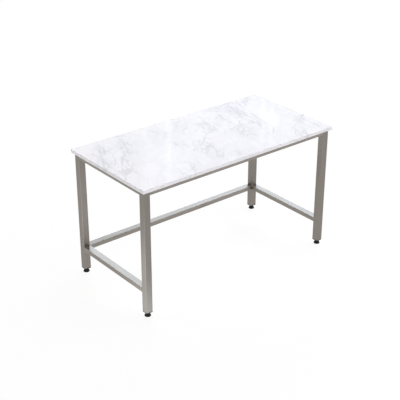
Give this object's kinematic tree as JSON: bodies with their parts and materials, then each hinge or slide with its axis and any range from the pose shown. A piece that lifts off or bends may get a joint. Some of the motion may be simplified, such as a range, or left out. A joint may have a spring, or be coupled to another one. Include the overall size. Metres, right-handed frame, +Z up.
{
  "type": "work table",
  "caption": "Rectangular work table: veined stone worktop on a welded square-tube steel frame, open at the front, with low stretchers and screw-adjusted levelling feet.",
  "frame": {"origin": "on the floor, under the middle of the worktop", "axes": "+Z up, +X along the worktop's length with the feet on the floor at z = 0, +Y from the open front to the back stretcher"},
  "size_m": [1.5, 0.75, 0.855],
  "materials": {
    "marble": "polished, white with soft grey veins",
    "frame_steel": "satin brushed along the tubes",
    "zinc_plate": "bright zinc plate",
    "brass": "turned",
    "black_plastic": "moulded, fine grain",
    "rubber": "matt"
  },
  "bodies": {
    "table": {"worktop": "marble", "leg_front_left": "frame_steel", "leg_front_right": "frame_steel", "leg_rear_left": "frame_steel", "leg_rear_right": "frame_steel", "top_rail_front": "frame_steel", "top_rail_rear": "frame_steel", "top_rail_left": "frame_steel", "top_rail_right": "frame_steel", "worktop_cross_rail": "frame_steel", "stretcher_rear": "frame_steel", "stretcher_left": "frame_steel", "stretcher_right": "frame_steel", "weld_fills": "frame_steel", "worktop_screws": "zinc_plate", "screw_washers": "zinc_plate", "worktop_inserts": "brass", "access_hole_caps": "black_plastic", "leg_plug_front_left": "black_plastic", "threaded_bush_front_left": "zinc_plate", "leg_plug_front_right": "black_plastic", "threaded_bush_front_right": "zinc_plate", "leg_plug_rear_left": "black_plastic", "threaded_bush_rear_left": "zinc_plate", "leg_plug_rear_right": "black_plastic", "threaded_bush_rear_right": "zinc_plate"},
    "front_left_foot": {"foot_base_front_left": "black_plastic", "foot_sole_front_left": "rubber"},
    "front_left_stem": {"foot_stem_front_left": "zinc_plate"},
    "front_right_foot": {"foot_base_front_right": "black_plastic", "foot_sole_front_right": "rubber"},
    "front_right_stem": {"foot_stem_front_right": "zinc_plate"},
    "rear_left_foot": {"foot_base_rear_left": "black_plastic", "foot_sole_rear_left": "rubber"},
    "rear_left_stem": {"foot_stem_rear_left": "zinc_plate"},
    "rear_right_foot": {"foot_base_rear_right": "black_plastic", "foot_sole_rear_right": "rubber"},
    "rear_right_stem": {"foot_stem_rear_right": "zinc_plate"}
  },
  "joints": [
    {"name": "front_left_foot_slide", "type": "slide", "parent": "table", "child": "front_left_foot", "axis": [0, 0, -1], "range_m": [-0.002, 0.0205]},
    {"name": "front_left_stem_turn", "type": "hinge", "parent": "front_left_foot", "child": "front_left_stem", "pos_m": [-0.7115, -0.3335, 0.025], "axis": [0, 0, -1], "range_deg": [-480, 4920]},
    {"name": "front_right_foot_slide", "type": "slide", "parent": "table", "child": "front_right_foot", "axis": [0, 0, -1], "range_m": [-0.002, 0.0205]},
    {"name": "front_right_stem_turn", "type": "hinge", "parent": "front_right_foot", "child": "front_right_stem", "pos_m": [0.7115, -0.3335, 0.025], "axis": [0, 0, -1], "range_deg": [-480, 4920]},
    {"name": "rear_left_foot_slide", "type": "slide", "parent": "table", "child": "rear_left_foot", "axis": [0, 0, -1], "range_m": [-0.002, 0.0205]},
    {"name": "rear_left_stem_turn", "type": "hinge", "parent": "rear_left_foot", "child": "rear_left_stem", "pos_m": [-0.7115, 0.3335, 0.025], "axis": [0, 0, -1], "range_deg": [-480, 4920]},
    {"name": "rear_right_foot_slide", "type": "slide", "parent": "table", "child": "rear_right_foot", "axis": [0, 0, -1], "range_m": [-0.002, 0.0205]},
    {"name": "rear_right_stem_turn", "type": "hinge", "parent": "rear_right_foot", "child": "rear_right_stem", "pos_m": [0.7115, 0.3335, 0.025], "axis": [0, 0, -1], "range_deg": [-480, 4920]}
  ],
  "couplings": [
    {"joint": "front_left_stem_turn", "follows": "front_left_foot_slide", "rad_per_m": 4188.8},
    {"joint": "front_right_stem_turn", "follows": "front_right_foot_slide", "rad_per_m": 4188.8},
    {"joint": "rear_left_stem_turn", "follows": "rear_left_foot_slide", "rad_per_m": 4188.8},
    {"joint": "rear_right_stem_turn", "follows": "rear_right_foot_slide", "rad_per_m": 4188.8}
  ]
}
